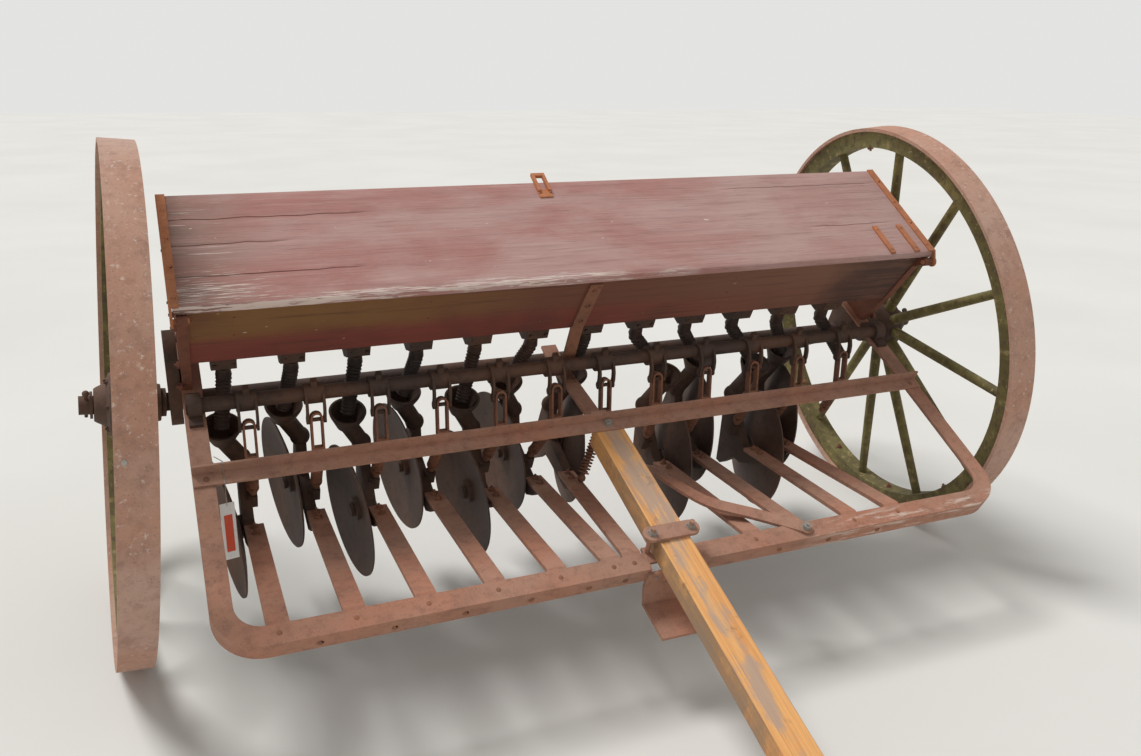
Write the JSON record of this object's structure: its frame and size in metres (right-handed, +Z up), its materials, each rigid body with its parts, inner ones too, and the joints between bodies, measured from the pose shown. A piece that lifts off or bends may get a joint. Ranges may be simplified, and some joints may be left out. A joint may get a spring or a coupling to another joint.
{
  "type": "seed drill",
  "caption": "Horse-drawn grain drill with single-disc openers, a long wooden seed box and leaning spoked wheels, parked nose-down on a short tongue.",
  "frame": {"origin": "middle of the bounding box at floor level, between the two wheels", "axes": "+X across to the drill's right as seen from behind the seed box looking forward, -Y forward along the tongue, +Z up; the drill's own frame is pitched nose-down about X as it parks"},
  "size_m": [2.419, 2.1188, 1.221],
  "materials": {
    "rusted_angle": "rusted, matte",
    "rusted_forging": "rusted, matte",
    "dark_casting": "rusted, matte",
    "seed_tube_steel": "rusted, matte",
    "tongue_wood": "weathered paint, matte",
    "box_paint": "weathered paint, matte",
    "box_end_casting": "rusted, matte",
    "lid_paint": "weathered paint, matte",
    "lid_iron": "rusted, matte",
    "disc_steel": "rusted",
    "tyre_iron": "rusted, matte",
    "wheel_wood": "weathered paint, matte"
  },
  "bodies": {
    "frame": {"frame_rails": "rusted_angle", "cross_angle": "rusted_angle", "centre_rail": "rusted_angle", "twisted_strap": "rusted_angle", "tongue": "tongue_wood", "tongue_clamp": "rusted_forging", "tongue_bracket": "rusted_forging", "tongue_hitch": "rusted_forging", "axle": "dark_casting", "axle_brackets": "dark_casting", "box_front": "box_paint", "box_rear": "box_paint", "box_bottom": "box_paint", "box_ends": "box_end_casting", "box_brace": "rusted_angle", "feed_cups": "dark_casting", "feed_shaft": "dark_casting", "seed_tubes": "seed_tube_steel", "gear_cover": "dark_casting", "rock_shaft": "dark_casting", "rock_brackets": "dark_casting", "pressure_links": "rusted_forging", "pressure_springs": "rusted_forging", "drag_bars": "rusted_angle", "boots": "dark_casting"},
    "lid": {"lid": "lid_paint", "lid_irons": "lid_iron"},
    "wheel_left": {"tyre_left": "tyre_iron", "felloe_left": "wheel_wood", "spokes_left": "wheel_wood", "hub_left": "dark_casting"},
    "wheel_right": {"tyre_right": "tyre_iron", "felloe_right": "wheel_wood", "spokes_right": "wheel_wood", "hub_right": "dark_casting"},
    "disc_01": {"disc_01": "disc_steel"},
    "disc_02": {"disc_02": "disc_steel"},
    "disc_03": {"disc_03": "disc_steel"},
    "disc_04": {"disc_04": "disc_steel"},
    "disc_05": {"disc_05": "disc_steel"},
    "disc_06": {"disc_06": "disc_steel"},
    "disc_07": {"disc_07": "disc_steel"},
    "disc_08": {"disc_08": "disc_steel"},
    "disc_09": {"disc_09": "disc_steel"},
    "disc_10": {"disc_10": "disc_steel"},
    "disc_11": {"disc_11": "disc_steel"}
  },
  "joints": [
    {"name": "lid_hinge", "type": "hinge", "parent": "frame", "child": "lid", "pos_m": [0, 0.12144, 0.87502], "axis": [1, 0, 0], "range_deg": [0, 100]},
    {"name": "wheel_left_turn", "type": "hinge", "parent": "frame", "child": "wheel_left", "pos_m": [-1.108, 0.44871, 0.61052], "axis": [0.9945, 0.0507, -0.0914], "continuous": true},
    {"name": "wheel_right_turn", "type": "hinge", "parent": "frame", "child": "wheel_right", "pos_m": [1.108, 0.44871, 0.61052], "axis": [0.9945, -0.0507, 0.0914], "continuous": true},
    {"name": "disc_01_turn", "type": "hinge", "parent": "frame", "child": "disc_01", "pos_m": [-0.89326, 0.33716, 0.30287], "axis": [0.9877, 0.1368, 0.0758], "continuous": true},
    {"name": "disc_02_turn", "type": "hinge", "parent": "frame", "child": "disc_02", "pos_m": [-0.74426, 0.44211, 0.36105], "axis": [0.9877, 0.1368, 0.0758], "continuous": true},
    {"name": "disc_03_turn", "type": "hinge", "parent": "frame", "child": "disc_03", "pos_m": [-0.59726, 0.33716, 0.30287], "axis": [0.9877, 0.1368, 0.0758], "continuous": true},
    {"name": "disc_04_turn", "type": "hinge", "parent": "frame", "child": "disc_04", "pos_m": [-0.44726, 0.44211, 0.36105], "axis": [0.9877, 0.1368, 0.0758], "continuous": true},
    {"name": "disc_05_turn", "type": "hinge", "parent": "frame", "child": "disc_05", "pos_m": [-0.30326, 0.33716, 0.30287], "axis": [0.9877, 0.1368, 0.0758], "continuous": true},
    {"name": "disc_06_turn", "type": "hinge", "parent": "frame", "child": "disc_06", "pos_m": [-0.17026, 0.44211, 0.36105], "axis": [0.9877, 0.1368, 0.0758], "continuous": true},
    {"name": "disc_07_turn", "type": "hinge", "parent": "frame", "child": "disc_07", "pos_m": [0.00726, 0.44211, 0.36105], "axis": [0.9877, -0.1368, -0.0758], "continuous": true},
    {"name": "disc_08_turn", "type": "hinge", "parent": "frame", "child": "disc_08", "pos_m": [0.28026, 0.33716, 0.30287], "axis": [0.9877, -0.1368, -0.0758], "continuous": true},
    {"name": "disc_09_turn", "type": "hinge", "parent": "frame", "child": "disc_09", "pos_m": [0.40626, 0.44211, 0.36105], "axis": [0.9877, -0.1368, -0.0758], "continuous": true},
    {"name": "disc_10_turn", "type": "hinge", "parent": "frame", "child": "disc_10", "pos_m": [0.57526, 0.33716, 0.30287], "axis": [0.9877, -0.1368, -0.0758], "continuous": true},
    {"name": "disc_11_turn", "type": "hinge", "parent": "frame", "child": "disc_11", "pos_m": [0.69026, 0.44211, 0.36105], "axis": [0.9877, -0.1368, -0.0758], "continuous": true}
  ]
}
